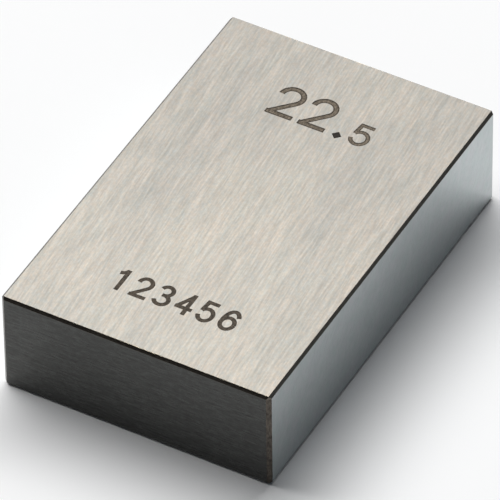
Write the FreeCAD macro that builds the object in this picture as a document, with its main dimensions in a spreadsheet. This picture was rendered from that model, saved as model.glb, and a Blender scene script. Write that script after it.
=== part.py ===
"""Rectangular steel gauge block with a nominal length of 22.5 mm.

The block is one piece of hardened steel. It lies on one of its two wide side faces:
  +X  along the measured length, from one lapped measuring face to the other
  +Y  along the long side of the section
  +Z  along the short side of the section, upwards
The origin is the centre of the side face that it lies on.

Its edges are treated as on a real block: a chamfer on the four edges that stand upright,
a narrower chamfer round the top and bottom faces, and a fine stoned rounding on every
border that the chamfers leave.
"""

import FreeCAD, Part

import os

import Sketcher

NODE = "gauge_block"
TOLERANCE = 1e-6  # mm, how near to a plane or a line counts as on it

# Driving dimensions in mm, with what each of them is.
DIMENSIONS = [
    ("nominal_length", 22.5, "between the measuring faces"),
    ("section_width", 35.0, "long side of the section"),
    ("section_thickness", 8.85, "short side of the section"),
    ("upright_chamfer", 0.3, "leg of the chamfer on the upright edges"),
    ("face_chamfer", 0.2, "leg of the chamfer round the top and bottom faces"),
    ("stoned_radius", 0.03, "rounding of every border that a chamfer leaves"),
]


def make_sheet(doc):
    """Write the driving dimensions to a spreadsheet, one aliased cell for each."""
    sheet = doc.addObject("Spreadsheet::Sheet", "Dimensions")
    for row, (alias, value, meaning) in enumerate(DIMENSIONS, start=1):
        sheet.set(f"A{row}", alias)
        sheet.set(f"B{row}", str(value))
        sheet.set(f"C{row}", meaning)
        sheet.setAlias(f"B{row}", alias)
    doc.recompute()
    return sheet


def make_body(doc, name):
    """Add a body whose Label names its file, at the origin of the part's frame."""
    body = doc.addObject("PartDesign::Body", name)
    body.Label = name
    body.Placement = FreeCAD.Placement()
    return body


def origin_plane(body, role):
    """Find one of the body's own origin planes by its role."""
    for feature in body.Origin.OriginFeatures:
        if feature.Role == role:
            return feature
    raise RuntimeError(f"{body.Label} has no {role}")


def draw_section(body):
    """Sketch the block's outline on the side face it lies on, centred on the origin."""
    sketch = body.newObject("Sketcher::SketchObject", "Outline")
    sketch.AttachmentSupport = [(origin_plane(body, "XY_Plane"), "")]
    sketch.MapMode = "FlatFace"

    # Drawn as a square of side 2 about the origin; the constraints give it its real size.
    drawn_side = 2.0
    corners = [(-1, -1), (1, -1), (1, 1), (-1, 1)]
    points = [FreeCAD.Vector(x, y, 0) for x, y in corners]
    for start, end in zip(points, points[1:] + points[:1]):
        sketch.addGeometry(Part.LineSegment(start, end))

    front, right, back, left = range(4)
    start_point, end_point = 1, 2
    root_geometry, root_point = -1, 1
    for side, following in ((front, right), (right, back), (back, left), (left, front)):
        sketch.addConstraint(
            Sketcher.Constraint("Coincident", side, end_point, following, start_point)
        )
    for side in (front, back):
        sketch.addConstraint(Sketcher.Constraint("Horizontal", side))
    for side in (right, left):
        sketch.addConstraint(Sketcher.Constraint("Vertical", side))
    diagonal = (front, start_point, right, end_point)
    sketch.addConstraint(
        Sketcher.Constraint("Symmetric", *diagonal, root_geometry, root_point)
    )

    across = ("DistanceX", front, start_point, front, end_point, drawn_side)
    along = ("DistanceY", right, start_point, right, end_point, drawn_side)
    length = sketch.addConstraint(Sketcher.Constraint(*across))
    width = sketch.addConstraint(Sketcher.Constraint(*along))
    sketch.setExpression(f"Constraints[{length}]", "Dimensions.nominal_length")
    sketch.setExpression(f"Constraints[{width}]", "Dimensions.section_width")
    return sketch


def pad_section(body, sketch):
    """Raise the outline to the block's thickness."""
    pad = body.newObject("PartDesign::Pad", "Blank")
    pad.Profile = sketch
    pad.setExpression("Length", "Dimensions.section_thickness")
    body.Document.recompute()
    return pad


def edges_where(shape, wanted):
    """Name the edges of a shape that pass a test."""
    return [
        f"Edge{number}"
        for number, edge in enumerate(shape.Edges, start=1)
        if wanted(edge)
    ]


def is_upright(edge):
    """Tell whether a straight edge runs along Z."""
    first, last = edge.Vertexes[0].Point, edge.Vertexes[-1].Point
    return first.sub(last).cross(FreeCAD.Vector(0, 0, 1)).Length < TOLERANCE


def lies_level_with(height):
    """Make a test for edges that lie in the plane z = height."""
    return lambda edge: all(abs(v.Point.z - height) < TOLERANCE for v in edge.Vertexes)


def dress_edges(body, kind, name, base, edges, dimension, alias):
    """Add a chamfer or fillet to some edges of the base, with its size from the sheet."""
    feature = body.newObject(f"PartDesign::{kind}", name)
    feature.Base = (base, edges)
    feature.setExpression(dimension, f"Dimensions.{alias}")
    body.Document.recompute()
    return feature


def make_gauge_block(doc, sheet):
    """Build the block: a padded blank, its chamfers, then the stoned borders."""
    body = make_body(doc, NODE)
    blank = pad_section(body, draw_section(body))

    upright = edges_where(blank.Shape, is_upright)
    cornered = dress_edges(
        body, "Chamfer", "UprightChamfers", blank, upright, "Size", "upright_chamfer"
    )

    bottom = edges_where(cornered.Shape, lies_level_with(0.0))
    top = edges_where(cornered.Shape, lies_level_with(float(sheet.section_thickness)))
    faced = dress_edges(
        body, "Chamfer", "FaceChamfers", cornered, bottom + top, "Size", "face_chamfer"
    )

    borders = edges_where(faced.Shape, lambda edge: True)
    stoned = dress_edges(
        body, "Fillet", "StonedBorders", faced, borders, "Radius", "stoned_radius"
    )
    body.Tip = stoned
    return body


def check_document(doc):
    """Stop if any object of the document failed to build."""
    for item in doc.Objects:
        if "Invalid" in item.State or "Error" in item.State:
            raise RuntimeError(f"{item.Label} failed: {item.State}")


def check_body(body):
    """Stop unless the body is one valid solid."""
    shape = body.Shape
    if shape.isNull() or not shape.isValid():
        raise RuntimeError(f"{body.Label} has no valid shape")
    if len(shape.Solids) != 1:
        raise RuntimeError(f"{body.Label} has {len(shape.Solids)} solids, not one")


def main():
    doc = FreeCAD.newDocument("GaugeBlock")
    sheet = make_sheet(doc)
    body = make_gauge_block(doc, sheet)
    doc.recompute()
    check_document(doc)
    check_body(body)

    os.makedirs("parts", exist_ok=True)
    body.Shape.exportStep(f"parts/{body.Label}.step")
    box = body.Shape.BoundBox
    print(
        f"{body.Label}: {box.XLength:.3f} x {box.YLength:.3f} x {box.ZLength:.3f} mm, "
        f"{body.Shape.Volume:.2f} mm3, {len(body.Shape.Faces)} faces"
    )


main()
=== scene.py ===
# %% [markdown]
# # A steel gauge block
# A gauge block is a small bar of hardened steel whose two measuring faces lie at an exactly
# known distance from each other. This one is 22.5 mm long. It lies on its side, so that the
# mirror-lapped measuring faces look left and right (-X and +X), the ground end faces look
# to the front and back (-Y and +Y), and the ground side face with the marks looks up.
#
# The solid comes from the CAD model, which is loaded first and never changed. All that is
# made here is its finish: the marks cut into the top face and the steel of each face.

import math

import bmesh
import bpy
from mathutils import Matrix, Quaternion, Vector
from mathutils.geometry import delaunay_2d_cdt


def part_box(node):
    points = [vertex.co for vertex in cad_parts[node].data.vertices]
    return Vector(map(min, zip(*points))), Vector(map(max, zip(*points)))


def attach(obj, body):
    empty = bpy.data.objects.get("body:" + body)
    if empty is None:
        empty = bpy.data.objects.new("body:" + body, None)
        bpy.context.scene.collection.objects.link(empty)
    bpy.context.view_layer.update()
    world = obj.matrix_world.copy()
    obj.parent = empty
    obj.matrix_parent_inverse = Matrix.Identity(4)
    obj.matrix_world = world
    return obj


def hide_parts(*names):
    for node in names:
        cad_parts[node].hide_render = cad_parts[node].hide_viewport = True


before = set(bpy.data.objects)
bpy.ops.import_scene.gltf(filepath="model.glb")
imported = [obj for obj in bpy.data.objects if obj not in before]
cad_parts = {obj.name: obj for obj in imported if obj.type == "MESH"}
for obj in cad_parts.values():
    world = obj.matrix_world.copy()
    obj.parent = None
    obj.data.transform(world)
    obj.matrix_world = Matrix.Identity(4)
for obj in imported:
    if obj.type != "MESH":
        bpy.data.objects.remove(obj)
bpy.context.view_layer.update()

NODE = "gauge_block"
MM = 0.001  # metres in a millimetre

low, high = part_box(NODE)
print("block, mm:", [round(side / MM, 3) for side in high - low])

# %% [markdown]
# ## The camera
# A long lens far from the block keeps its edges almost parallel, as in a technical drawing.
# The camera is placed by its angles round the block: azimuth 0 looks along +Y, and a
# positive elevation looks down. Angles keep the point of view readable, and the distance
# can change without turning the view, which a bare position would not allow.

# %% Camera
AZIMUTH = math.radians(29.465)
ELEVATION = math.radians(43.591)
ROLL = math.radians(-0.808)
DISTANCE = 608.3 * MM
LENS = 589.5  # mm of focal length, on a sensor 36 mm wide
MIDDLE = Vector((0, 0, 4.5 * MM))
OFF_AXIS = (-0.070 * MM, -0.375 * MM)  # how far the camera stands right and up of the axis


def direction(azimuth, elevation):
    """Point from the block towards something that stands at these angles."""
    return Vector(
        (
            math.sin(azimuth) * math.cos(elevation),
            -math.cos(azimuth) * math.cos(elevation),
            math.sin(elevation),
        )
    )


def make_camera():
    """Add the scene's camera, looking at the block from the front right and above."""
    back = direction(AZIMUTH, ELEVATION)
    turn = Quaternion(back, ROLL) @ back.to_track_quat("Z", "Y")
    right, up = turn @ Vector((1, 0, 0)), turn @ Vector((0, 1, 0))

    camera = bpy.data.objects.new("camera", bpy.data.cameras.new("camera"))
    camera.data.lens = LENS
    camera.data.clip_start = 10 * MM
    camera.rotation_mode = "QUATERNION"
    camera.rotation_quaternion = turn
    camera.location = MIDDLE + back * DISTANCE + right * OFF_AXIS[0] + up * OFF_AXIS[1]
    bpy.context.scene.collection.objects.link(camera)
    bpy.context.scene.camera = camera
    return camera


camera = make_camera()
print("camera, mm:", [round(part / MM, 1) for part in camera.location])

# %% [markdown]
# ## Colours and nodes
# Colours are written as sRGB hex values, as a paint chart or a colour picker gives them.
# Shaders work with linear light, so one function turns them over. A second small function
# adds any node, sets its properties, and fills or links its inputs, which keeps a material
# as short to read as a list of what it is made of.

# %% Helpers for colours and nodes
def linear(hex_colour):
    """Turn an sRGB hex colour into the linear RGBA that shaders take."""
    channels = [int(hex_colour[start : start + 2], 16) / 255 for start in (1, 3, 5)]
    light = [c / 12.92 if c <= 0.04045 else ((c + 0.055) / 1.055) ** 2.4 for c in channels]
    return (*light, 1.0)


def add_node(tree, kind, inputs, **settings):
    """Add a node, set its properties, and fill or link the inputs that are named."""
    node = tree.nodes.new(kind)
    for name, value in settings.items():
        setattr(node, name, value)
    for name, value in inputs.items():
        if isinstance(value, bpy.types.NodeSocket):
            tree.links.new(value, node.inputs[name])
        else:
            node.inputs[name].default_value = value
    return node


def stretched(tree, value, low_end, high_end, to_low=0.0, to_high=1.0):
    """Turn one range of values into another."""
    spread = add_node(
        tree,
        "ShaderNodeMapRange",
        {
            "Value": value,
            "From Min": low_end,
            "From Max": high_end,
            "To Min": to_low,
            "To Max": to_high,
        },
    )
    return spread.outputs["Result"]


def new_material(name):
    """Make an empty node material, and return it with its tree."""
    material = bpy.data.materials.new(name)
    material.use_nodes = True
    material.node_tree.nodes.clear()
    return material, material.node_tree


# %% [markdown]
# ## The floor
# A plain pale table top, matt so that it shows only the block's soft shadow. It is a wide
# disc, so that it still fills the picture behind the block in a view from close to the
# floor. It lies a hair below the block, whose own rest face is exactly at zero.

# %% Floor
FLOOR_COLOUR = "#FAFAFA"
FLOOR_RADIUS = 3.0  # m
FLOOR_SIDES = 96  # straight sides that stand for its round edge
HAIR = 0.01 * MM


def matt_white():
    """A plain matt surface with no sheen of its own."""
    material, tree = new_material("matt_white_table")
    skin = add_node(
        tree,
        "ShaderNodeBsdfPrincipled",
        {"Base Color": linear(FLOOR_COLOUR), "Roughness": 0.9, "Specular IOR Level": 0.0},
    )
    add_node(tree, "ShaderNodeOutputMaterial", {"Surface": skin.outputs["BSDF"]})
    return material


def make_floor():
    """Add the table top as one round face."""
    mesh = bpy.data.meshes.new("floor")
    shape = bmesh.new()
    bmesh.ops.create_circle(shape, cap_ends=True, radius=FLOOR_RADIUS, segments=FLOOR_SIDES)
    shape.to_mesh(mesh)
    shape.free()
    mesh.materials.append(matt_white())
    floor = bpy.data.objects.new("floor", mesh)
    floor.location.z = -HAIR
    bpy.context.scene.collection.objects.link(floor)
    return floor


floor = make_floor()
print("floor radius, m:", FLOOR_RADIUS)

# %% [markdown]
# ## The light
# Polished steel has hardly any tone of its own: it shows what it mirrors. One long softbox
# high up behind the block's left side is what the ground top face shows. The upright faces
# mirror the table, and with it the block's own soft shadow, which is why they run from
# dark at the foot to pale at the top. The room itself is dim, and paler low down on the +X
# side, as from a light wall, so that the steel also has something to show from other sides.

# %% Softbox and room
SOFTBOX_AZIMUTH = math.radians(180 + 49)
SOFTBOX_ELEVATION = math.radians(58)
SOFTBOX_DISTANCE = 2.5  # m
SOFTBOX_HALF_ANGLES = (math.radians(39), math.radians(12))  # along it, and across it
SOFTBOX_POWER = 100  # W
ROOM_COLOUR = "#D9E6F3"
WALL_GLOW = 0.45  # strength of the pale wall on the +X side, low down
ROOM_GLOW = 0.05  # strength on the opposite side
WALL_EDGES = (-0.3, 0.7)  # how far towards +X the glow starts to grow, and is full
GLOW_FADES = (math.radians(12), math.radians(40))  # elevations between which both fade out


def make_softbox():
    """Add the one lamp: a long softbox, as wide as the angles it fills from the block."""
    lamp = bpy.data.lights.new("softbox", "AREA")
    lamp.shape = "RECTANGLE"
    lamp.size = 2 * SOFTBOX_DISTANCE * math.tan(SOFTBOX_HALF_ANGLES[0])
    lamp.size_y = 2 * SOFTBOX_DISTANCE * math.tan(SOFTBOX_HALF_ANGLES[1])
    lamp.energy = SOFTBOX_POWER
    towards = direction(SOFTBOX_AZIMUTH, SOFTBOX_ELEVATION)
    softbox = bpy.data.objects.new("softbox", lamp)
    softbox.location = towards * SOFTBOX_DISTANCE
    softbox.rotation_mode = "QUATERNION"
    softbox.rotation_quaternion = towards.to_track_quat("Z", "Y")
    bpy.context.scene.collection.objects.link(softbox)
    return softbox


def make_room():
    """Fill the world with a dim glow, stronger on one side, that fades upwards."""
    world = bpy.data.worlds.new("room")
    world.use_nodes = True
    tree = world.node_tree
    tree.nodes.clear()
    where = add_node(tree, "ShaderNodeTexCoord", {})
    way = add_node(tree, "ShaderNodeSeparateXYZ", {"Vector": where.outputs["Generated"]})
    glow = stretched(tree, way.outputs["X"], *WALL_EDGES, ROOM_GLOW, WALL_GLOW)
    fade_start, fade_end = [math.sin(angle) for angle in GLOW_FADES]
    fade = stretched(tree, way.outputs["Z"], fade_start, fade_end, 1.0, 0.0)
    strength = add_node(tree, "ShaderNodeMath", {0: glow, 1: fade}, operation="MULTIPLY")
    light = add_node(
        tree,
        "ShaderNodeBackground",
        {"Color": linear(ROOM_COLOUR), "Strength": strength.outputs["Value"]},
    )
    add_node(tree, "ShaderNodeOutputWorld", {"Surface": light.outputs["Background"]})
    bpy.context.scene.world = world


softbox = make_softbox()
make_room()
print("softbox, m:", round(softbox.data.size, 2), "x", round(softbox.data.size_y, 2))

# %% [markdown]
# ## Grinding marks
# A grinding wheel leaves thousands of fine parallel scratches, each a few thousandths of a
# millimetre wide. That is too fine to show. Seen from arm's length they merge to streaks,
# which is what is drawn: a tenth of a millimetre wide and one or two millimetres long, with
# fainter and broader ones between them. A noise texture stretched along the scratches gives
# just that, and because it is worked out from the size of a streak, the same function
# serves every face: only the direction changes.

# %% Streaks
NOISE_SPAN = (0.3, 0.7)  # nearly all values of a noise lie between these


def streaks(tree, width, length, turned, seed, detail=3.0):
    """Noise stretched into streaks of a width and length in mm, for a turned set of axes.

    The streaks run along the turned Y axis.
    """
    where = add_node(tree, "ShaderNodeTexCoord", {})
    cells = add_node(
        tree,
        "ShaderNodeMapping",
        {
            "Vector": where.outputs["Object"],
            "Location": (seed, seed, seed),
            "Rotation": turned,
            "Scale": (width * MM, length * MM, width * MM),
        },
        vector_type="TEXTURE",
    )
    noise = add_node(
        tree,
        "ShaderNodeTexNoise",
        {"Vector": cells.outputs["Vector"], "Scale": 1.0, "Detail": detail, "Roughness": 0.6},
    )
    return noise.outputs["Fac"]


def blend_colours(tree, factor, first, second, how="MIX"):
    """Blend two colours, each a hex value or another node's output."""
    first, second = [linear(c) if isinstance(c, str) else c for c in (first, second)]
    mix = add_node(
        tree,
        "ShaderNodeMix",
        {0: factor, 6: first, 7: second},
        data_type="RGBA",
        blend_type=how,
    )
    return mix.outputs[2]


def tinted(tree, colour, noise, first_tint, second_tint):
    """Multiply a colour by a tint that runs from one to the other as a noise does.

    A tint is three factors, for red, green and blue.
    """
    tints = [(*tint, 1.0) for tint in (first_tint, second_tint)]
    tint = blend_colours(tree, stretched(tree, noise, *NOISE_SPAN), *tints)
    return blend_colours(tree, 1.0, colour, tint, "MULTIPLY")


def steel_surface(tree, colour, roughness, height, groove, anisotropy=0.0, across=None, metal=1.0):
    """Finish a material as bare steel, with a colour, a roughness and a groove height in mm."""
    bump = add_node(
        tree,
        "ShaderNodeBump",
        {"Height": height, "Distance": groove * MM, "Strength": 1.0},
    )
    inputs = {
        "Base Color": colour,
        "Metallic": metal,
        "Roughness": roughness,
        "Normal": bump.outputs["Normal"],
        "Anisotropic": anisotropy,
    }
    if across is not None:
        tangent = add_node(tree, "ShaderNodeCombineXYZ", dict(zip("XYZ", across)))
        inputs["Tangent"] = tangent.outputs["Vector"]
    skin = add_node(tree, "ShaderNodeBsdfPrincipled", inputs)
    add_node(tree, "ShaderNodeOutputMaterial", {"Surface": skin.outputs["BSDF"]})


# %% [markdown]
# ## Ground side faces
# The two wide side faces are surface-ground: satin, warm grey, with streaks that run a few
# degrees off the block's long side. The scratches scatter light much more across
# themselves than along themselves, so the roughness is anisotropic, with its tangent set
# across the streaks. The roughest of them scatter light evenly, so the steel is a little
# less than fully metallic. The widest pattern is painted shading: a broad noise in the
# colour that leaves the front a little paler and the back a little darker, as the light falls.

# %% Ground side faces
SIDE_TURN = math.radians(4.5)


def ground_side_steel():
    """Hardened steel, surface-ground: satin, with streaks close to the Y axis."""
    material, tree = new_material("ground_side_steel")
    turned = (0, 0, SIDE_TURN)
    hair = streaks(tree, 0.15, 2.3, turned, 1.7, detail=2.0)
    pits = streaks(tree, 0.14, 0.22, turned, 6.2, detail=1.0)
    fine = streaks(tree, 0.22, 4.0, turned, 2.6, detail=3.0)
    broad = streaks(tree, 0.7, 4.5, turned, 5.3, detail=2.0)
    bands = streaks(tree, 3.6, 16.0, turned, 173.1, detail=2.0)
    # painted shading: the broadest noise, paler at the front of the face and darker at the back
    painted_shading = streaks(tree, 20.0, 32.0, turned, 26.5, detail=0.0)
    stains = streaks(tree, 0.22, 0.4, turned, 7.4, detail=1.0)

    colour = linear("#C6C1B8")
    colour = tinted(tree, colour, hair, (0.885, 0.885, 0.885), (1.115, 1.115, 1.115))
    colour = tinted(tree, colour, pits, (0.945, 0.945, 0.945), (1.055, 1.055, 1.055))
    colour = tinted(tree, colour, fine, (0.955, 0.955, 0.955), (1.045, 1.045, 1.045))
    colour = tinted(tree, colour, broad, (0.95, 0.975, 0.985), (1.05, 1.025, 1.015))
    colour = tinted(tree, colour, bands, (0.95, 0.955, 0.965), (1.05, 1.045, 1.035))
    # painted shading in the colour, about six percent either way
    colour = tinted(tree, colour, painted_shading, (0.935, 0.935, 0.94), (1.065, 1.065, 1.06))
    colour = tinted(tree, colour, stains, (0.965, 1.0, 1.035), (1.035, 1.0, 0.965))
    roughness = stretched(tree, fine, *NOISE_SPAN, 0.66, 0.74)
    across = (math.cos(SIDE_TURN), math.sin(SIDE_TURN), 0)
    steel_surface(tree, colour, roughness, hair, 0.002, 0.9, across, metal=0.7)
    return material


# %% [markdown]
# ## Lapped measuring faces
# Lapping with a paste finer than a micrometre makes these faces mirrors, flat and bright
# enough for two blocks to cling together. Only a very faint haze of lapping lines is left,
# with patches of a faint film that shift its grey. The lines are far finer than a render
# can show, so they are drawn about a tenth of a millimetre wide.

# %% Lapped measuring faces
def lapped_measuring_steel():
    """Hardened steel, lapped to a mirror with a trace of haze."""
    material, tree = new_material("lapped_measuring_steel")
    turned = (math.radians(60), 0, 0)
    lines = streaks(tree, 0.12, 0.5, turned, 3.1)
    haze = streaks(tree, 0.9, 1.6, turned, 7.7)
    film = streaks(tree, 0.6, 0.8, turned, 4.1, detail=2.0)
    colour = tinted(tree, linear("#ABB2B3"), lines, (0.92, 0.92, 0.92), (1.08, 1.08, 1.08))
    colour = tinted(tree, colour, haze, (0.95, 0.97, 0.97), (1.05, 1.03, 1.03))
    colour = tinted(tree, colour, film, (1.03, 0.99, 1.01), (0.97, 1.01, 0.99))
    roughness = stretched(tree, haze, *NOISE_SPAN, 0.10, 0.14)
    steel_surface(tree, colour, roughness, lines, 0.0001)
    return material


# %% [markdown]
# ## Ground end faces, painted dark
# The ends carry no measurement and are ground along X. Their colour is painted far darker
# than steel, as painted shade, with fine wavy lines and a faint mottle between them.

# %% Ground end faces, painted dark
def painted_dark_end_steel():
    """Hardened steel, ground along the X axis, with its colour painted dark as shade."""
    material, tree = new_material("painted_dark_end_steel")
    quarter_turn = (0, 0, math.radians(90))
    fine = streaks(tree, 0.13, 1.3, quarter_turn, 2.9)
    broad = streaks(tree, 0.5, 6.0, quarter_turn, 8.3)
    mottle = streaks(tree, 0.3, 0.45, quarter_turn, 5.9, detail=2.0)
    # painted shade: these base colours are far darker than steel, for the dim room the ends mirror
    colour = blend_colours(tree, stretched(tree, fine, *NOISE_SPAN), "#3F3F3E", "#535452")
    colour = blend_colours(tree, stretched(tree, broad, *NOISE_SPAN, 0.0, 0.5), colour, "#484847")
    colour = tinted(tree, colour, mottle, (0.91, 0.88, 0.89), (1.09, 1.12, 1.11))
    roughness = stretched(tree, fine, *NOISE_SPAN, 0.22, 0.30)
    steel_surface(tree, colour, roughness, fine, 0.002, 0.6, (0, 0, 1))
    return material


# %% [markdown]
# ## Chamfers
# Every edge is chamfered and then stoned by hand, so that it cannot scratch another block.
# The narrow bands are finely scratched and browner than the faces, and their colour is painted
# much darker, as painted shade.

# %% Chamfers
def stoned_edge_painted_dark():
    """Hardened steel, stoned by hand, with its colour painted dark as shade."""
    material, tree = new_material("stoned_edge_painted_dark")
    grain = streaks(tree, 0.08, 0.3, (0, 0, 0), 4.9)
    # painted shade: these base colours are far darker than steel, for the dim room the chamfers
    # mirror
    colour = blend_colours(tree, stretched(tree, grain, *NOISE_SPAN), "#5C564F", "#6E6860")
    roughness = stretched(tree, grain, *NOISE_SPAN, 0.28, 0.40)
    steel_surface(tree, colour, roughness, grain, 0.001)
    return material


# %% [markdown]
# ## Worn borders with a painted highlight
# Where the chamfer at each end meets the top or the bottom, the last rub of the stone and
# years of handling leave a smooth border only a few hundredths of a millimetre wide. Its
# colour is painted brighter and warmer than what it parts, as a painted highlight.

# %% Worn borders with a painted highlight
def worn_border_painted_highlight():
    """Hardened steel, rubbed smooth along a border, with a painted highlight in its colour."""
    material, tree = new_material("worn_border_painted_highlight")
    nicks = streaks(tree, 0.25, 0.25, (0, 0, 0), 8.8)
    # painted highlight: warm colours paler than the steel beside them, for the thin bright line
    # along the rounding
    colour = blend_colours(tree, stretched(tree, nicks, 0.35, 0.6), "#A09480", "#D4C7AC")
    roughness = stretched(tree, nicks, *NOISE_SPAN, 0.24, 0.16)
    steel_surface(tree, colour, roughness, nicks, 0.002)
    return material


# %% [markdown]
# ## Corner chamfers, painted dark
# The four upright chamfers stand between a measuring face and an end. They are ground with
# the ends, and like them their colour is painted dark as shade, a little browner and patchier.

# %% Corner chamfers, painted dark
def painted_dark_corner_steel():
    """Hardened steel, ground along the upright corners, with its colour painted dark as shade."""
    material, tree = new_material("painted_dark_corner_steel")
    grain = streaks(tree, 0.12, 0.6, (math.radians(70), 0, math.radians(45)), 3.7)
    patches = streaks(tree, 0.5, 0.9, (0, 0, 0), 6.6, detail=2.0)
    # painted shade: far darker than steel, for the shadowed table these chamfers mirror
    colour = blend_colours(tree, stretched(tree, grain, *NOISE_SPAN), "#322F2C", "#5C5650")
    colour = tinted(tree, colour, patches, (0.75, 0.75, 0.75), (1.25, 1.23, 1.20))
    roughness = stretched(tree, grain, *NOISE_SPAN, 0.28, 0.36)
    steel_surface(tree, colour, roughness, grain, 0.001)
    return material


# %% [markdown]
# ## Laser marks
# The nominal length and a number are marked with a laser. It draws each stroke as a dense
# hatch inside an outline, which leaves a shallow trough of dark oxide: nearly black where
# the outline passed, browner between, and darkest in the small point. Oxide is no metal,
# so these finishes are not metallic.

# %% Laser marks
def oxide(name, dark, pale, seed):
    """Laser-burnt oxide between two tones, with a fine mottle."""
    material, tree = new_material(name)
    mottle = streaks(tree, 0.16, 0.22, (0, 0, 0), seed)
    colour = blend_colours(tree, stretched(tree, mottle, *NOISE_SPAN), dark, pale)
    bump = add_node(
        tree, "ShaderNodeBump", {"Height": mottle, "Distance": 0.004 * MM, "Strength": 1.0}
    )
    skin = add_node(
        tree,
        "ShaderNodeBsdfPrincipled",
        {
            "Base Color": colour,
            "Roughness": 0.7,
            "Specular IOR Level": 0.2,
            "Normal": bump.outputs["Normal"],
        },
    )
    add_node(tree, "ShaderNodeOutputMaterial", {"Surface": skin.outputs["BSDF"]})
    return material


# %% [markdown]
# ## Pen strokes for the digits
# The marks are plain engraving figures of one stroke width. Each figure is a pen path in a
# unit square, made of straight runs and parts of ellipses, and is scaled to its real height
# and width. Text objects would also do, but a font's shapes could not be matched to the
# figures that such marking machines draw.

# %% Figures
BOW_STEP = 9  # degrees from one point of a curved stroke to the next
MITRE_LIMIT = 0.5  # a sharper turn than this would draw its mitre out too far


def bow(centre, radii, start, end):
    """Points along part of an ellipse, from one angle to another, in degrees."""
    count = max(2, round(abs(end - start) / BOW_STEP))
    angles = [math.radians(start + (end - start) * i / count) for i in range(count + 1)]
    return [
        (centre[0] + radii[0] * math.cos(angle), centre[1] + radii[1] * math.sin(angle))
        for angle in angles
    ]


# Each figure: its pen strokes, with True where the stroke's ends are cut square past them.
FIGURES = {
    "1": [
        ([(0.62, 0.0), (0.62, 1.0)], True),
        (bow((0.08, 1.14), (0.54, 0.30), -90, -15), False),
    ],
    "2": [
        ([*bow((0.5, 0.72), (0.5, 0.28), 180, -40), (0.0, 0.0)], False),
        ([(0.0, 0.0), (1.0, 0.0)], True),
    ],
    "3": [
        (bow((0.48, 0.76), (0.44, 0.24), 165, -90), False),
        (bow((0.48, 0.26), (0.52, 0.26), 90, -165), False),
        ([(0.30, 0.52), (0.48, 0.52)], False),
    ],
    "4": [
        ([(0.74, 0.0), (0.74, 1.0)], True),
        ([(0.0, 0.27), (1.0, 0.27)], True),
        ([(0.74, 1.0), (0.0, 0.27)], False),
    ],
    "5": [
        ([(0.97, 1.0), (0.14, 1.0), (0.04, 0.50)], False),
        (bow((0.48, 0.33), (0.52, 0.33), 148, -168), False),
    ],
    "6": [
        (bow((0.5, 0.31), (0.5, 0.31), 0, 360), False),
        (bow((0.55, 0.42), (0.55, 0.58), 180, 32), False),
    ],
}


def ribbon(path, half_width, square_ends):
    """Widen a pen path to a row of four-sided pieces, with mitred corners."""
    points = [Vector(point) for point in path]
    runs = [(after - before).normalized() for before, after in zip(points, points[1:])]
    if square_ends:
        points[0] = points[0] - runs[0] * half_width
        points[-1] = points[-1] + runs[-1] * half_width
    sides = []
    for number, point in enumerate(points):
        before, after = runs[max(number - 1, 0)], runs[min(number, len(runs) - 1)]
        along = (before + after).normalized()
        reach = half_width / max(along.dot(after), MITRE_LIMIT)
        across = Vector((-along.y, along.x)) * reach
        sides.append((point + across, point - across))
    return [
        [left, right, next_right, next_left]
        for (left, right), (next_left, next_right) in zip(sides, sides[1:])
    ]


def figure_pieces(figure, corner, size, stroke, band):
    """Place one figure in mm, by its lower left corner, its size and its stroke's width.

    The band is the share of the stroke's width to fill.
    """
    room = Vector((size[0] - stroke, size[1] - stroke))
    start = Vector(corner) + Vector((stroke, stroke)) / 2
    pieces = []
    for path, square_ends in FIGURES[figure]:
        placed = [start + Vector((x * room.x, y * room.y)) for x, y in path]
        pieces += ribbon(placed, stroke * band / 2, square_ends)
    return pieces


# %% [markdown]
# ## Where the marks stand
# The length stands near the back with a small figure after the point, and the number near
# the front. Sizes and places are in mm from the middle of the face.

# %% Layout of the marks
CORE_SHARE = 0.5  # share of a stroke's width between its dark outlines
WIDE_STROKE, NARROW_STROKE = 0.47, 0.35
LENGTH_PLACES = (-3.92, -1.17)  # left sides of the two large figures
LENGTH_SIZE, LENGTH_FOOT = (2.25, 3.48), 9.19  # width and height, and the line they stand on
SMALL_CORNER, SMALL_SIZE = (3.0, 9.07), (1.61, 2.42)
POINT_MIDDLE, POINT_REACH = Vector((2.13, 9.44)), 0.41
NUMBER_START, NUMBER_PITCH = -5.025, 1.811  # left side of the first figure, step to the next
NUMBER_SIZE, NUMBER_FOOT = (1.4, 2.29), -12.85


def length_marks(band):
    """Pieces of the figures of the length, filling a share of each stroke's width."""
    pieces = []
    for left in LENGTH_PLACES:
        pieces += figure_pieces("2", (left, LENGTH_FOOT), LENGTH_SIZE, WIDE_STROKE, band)
    pieces += figure_pieces("5", SMALL_CORNER, SMALL_SIZE, NARROW_STROKE, band)
    return pieces


def number_marks():
    """Pieces of the figures of the number, whose narrow strokes are evenly dark."""
    pieces = []
    for place, figure in enumerate("123456"):
        corner = (NUMBER_START + NUMBER_PITCH * place, NUMBER_FOOT)
        pieces += figure_pieces(figure, corner, NUMBER_SIZE, NARROW_STROKE, 1.0)
    return pieces


def point_mark():
    """The decimal point: one square that stands on its corner, burnt nearly black."""
    ways = ((1, 0), (0, 1), (-1, 0), (0, -1))
    return [[POINT_MIDDLE + Vector(way) * POINT_REACH for way in ways]]


print("pieces in the marks:", len(length_marks(1.0) + number_marks() + point_mark()))

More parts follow.
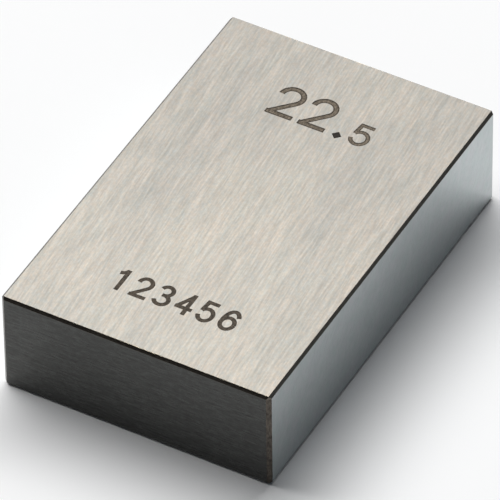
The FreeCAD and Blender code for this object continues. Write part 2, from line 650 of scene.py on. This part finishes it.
# %% [markdown]
# ## Cutting the marks into the block
# The finished block starts as a copy of the CAD mesh, and keeps its form but for two fine
# touches. The first is at the eight corners, where the outlines of the top and the bottom
# are drawn out to a point, because on the real block the corner chamfer narrows before it
# reaches them. The second is the marks. The flat top is made
# again by a triangulation that follows their outlines, which gives a region for the steel,
# one for the dark outlines, one for the middles of the strokes and one for the point. The
# marked regions are then sunk by the depth of the burn. A boolean cut would give the same
# shape, but the triangulation tells at once which face is which.

# %% Finished block
MARK_DEPTH = 0.02 * MM
SIDE, MEASURING, END, EDGE, CORNER, BORDER, OUTLINE, CORE, DENSE = range(9)
FLAT = 0.9999  # how nearly a normal must follow an axis to count as a flat face
LEVEL = 0.75  # vertical part of the normal on a border that looks mostly up or down
STEEP = 0.05  # vertical part of the normal on an upright corner
CHAMFER = 0.706  # second largest part of the normal of a flat chamfer
CORNER_REACH = 0.5 * MM  # how far from a corner of the block its chamfers reach
CHAMFER_DEPTH = 0.2 * MM  # how far the chamfers round the top and bottom reach up or down


def boundary_loop(faces):
    """Order the outer vertices of a patch of faces into one loop."""
    inside = set(faces)
    edges = [
        edge
        for face in faces
        for edge in face.edges
        if sum(linked in inside for linked in edge.link_faces) == 1
    ]
    loop = list(edges.pop().verts)
    while edges:
        edge = next(edge for edge in edges if loop[-1] in edge.verts)
        edges.remove(edge)
        loop.append(edge.other_vert(loop[-1]))
    return loop[:-1]


def sharpen_corners(shape):
    """Draw the outlines of the top and bottom out to sharp corners, over the corner chamfers."""
    middle, half = (low + high) / 2, (high - low) / 2
    for vertex in shape.verts:
        way = vertex.co - middle
        short_x, short_y, depth = [half[axis] - abs(way[axis]) for axis in range(3)]
        if max(short_x, short_y) > CORNER_REACH or depth > CHAMFER_DEPTH:
            continue
        share = 1 - depth / CHAMFER_DEPTH
        if short_x > short_y:
            vertex.co.x += math.copysign((short_x - short_y) * share, way.x)
        else:
            vertex.co.y += math.copysign((short_y - short_x) * share, way.y)
    bmesh.ops.remove_doubles(shape, verts=shape.verts, dist=HAIR / 100)
    shape.normal_update()


def retriangulate_top(shape, height):
    """Replace the flat top by triangles that follow the marks, and return the marked ones."""
    top = [
        face
        for face in shape.faces
        if face.normal.z > FLAT and abs(face.calc_center_median().z - height) < HAIR
    ]
    rim = boundary_loop(top)
    bmesh.ops.delete(shape, geom=top, context="FACES")

    outlines = [[vertex.co.xy / MM for vertex in rim]]
    regions = [SIDE]
    for pieces, region in (
        (length_marks(1.0), OUTLINE),
        (number_marks(), OUTLINE),
        (length_marks(CORE_SHARE), CORE),
        (point_mark(), DENSE),
    ):
        outlines += pieces
        regions += [region] * len(pieces)
    points = [point for outline in outlines for point in outline]
    numbers = iter(range(len(points)))
    corners = [[next(numbers) for _ in outline] for outline in outlines]
    points, _, triangles, origins, _, owners = delaunay_2d_cdt(points, [], corners, 1, 1e-5)

    vertices = []
    for point, origin in zip(points, origins):
        old = [index for index in origin if index < len(rim)]
        if old:
            vertices.append(rim[old[0]])
        else:
            vertices.append(shape.verts.new((point.x * MM, point.y * MM, height)))
    marked = []
    for triangle, owner in zip(triangles, owners):
        face = shape.faces.new([vertices[index] for index in triangle])
        face.material_index = regions[max(owner)]
        if face.material_index != SIDE:
            marked.append(face)
    return marked


def sink(shape, faces, depth):
    """Lower a patch of faces, and give the walls that this makes the outline's finish."""
    moved = bmesh.ops.extrude_face_region(shape, geom=faces)["geom"]
    bmesh.ops.delete(shape, geom=faces, context="FACES")
    for item in moved:
        if isinstance(item, bmesh.types.BMVert):
            item.co.z -= depth
            for face in item.link_faces:
                if face.material_index == SIDE:
                    face.material_index = OUTLINE


def sort_faces(shape):
    """Give each plain face its finish by the way it looks, and smooth the roundings."""
    for face in shape.faces:
        if face.material_index != SIDE:
            continue
        x, y, z = [abs(part) for part in face.normal]
        is_chamfer = sorted((x, y, z))[1] > CHAMFER
        if z > FLAT:
            face.material_index = SIDE
        elif x > FLAT:
            face.material_index = MEASURING
        elif y > FLAT:
            face.material_index = END
        elif z < STEEP:
            face.material_index = CORNER
        elif z > LEVEL and y > x:
            face.material_index = BORDER
        else:
            face.material_index = EDGE
        face.smooth = max(x, y, z) < FLAT and not is_chamfer


def make_block():
    """Copy the CAD block, cut the marks into it, and give each face its finish."""
    shape = bmesh.new()
    shape.from_mesh(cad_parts[NODE].data)
    bmesh.ops.remove_doubles(shape, verts=shape.verts, dist=HAIR / 100)
    for face in shape.faces:
        face.smooth = False
        face.material_index = SIDE
    sharpen_corners(shape)
    marked = retriangulate_top(shape, high.z)
    shape.normal_update()
    sink(shape, marked, MARK_DEPTH)
    shape.normal_update()
    sort_faces(shape)

    mesh = bpy.data.meshes.new("marked_gauge_block")
    shape.to_mesh(mesh)
    open_edges = sum(not edge.is_manifold for edge in shape.edges)
    shape.free()
    finishes = [
        ground_side_steel(),
        lapped_measuring_steel(),
        painted_dark_end_steel(),
        stoned_edge_painted_dark(),
        painted_dark_corner_steel(),
        worn_border_painted_highlight(),
        oxide("laser_outline_oxide", "#2F2A23", "#62574A", 2.3),
        oxide("laser_hatch_oxide", "#4A4137", "#8A7E6E", 6.1),
        oxide("laser_point_oxide", "#1B1814", "#37312A", 4.4),
    ]
    for finish in finishes:
        mesh.materials.append(finish)
    block = bpy.data.objects.new("marked_gauge_block", mesh)
    bpy.context.scene.collection.objects.link(block)
    print("faces:", len(mesh.polygons), "open edges:", open_edges)
    return block


block = make_block()
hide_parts(NODE)
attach(block, "root")

# %% [markdown]
# ## Colour management
# The Standard view shows each colour as it is written.

# %% Finish
bpy.context.scene.view_settings.view_transform = "Standard"
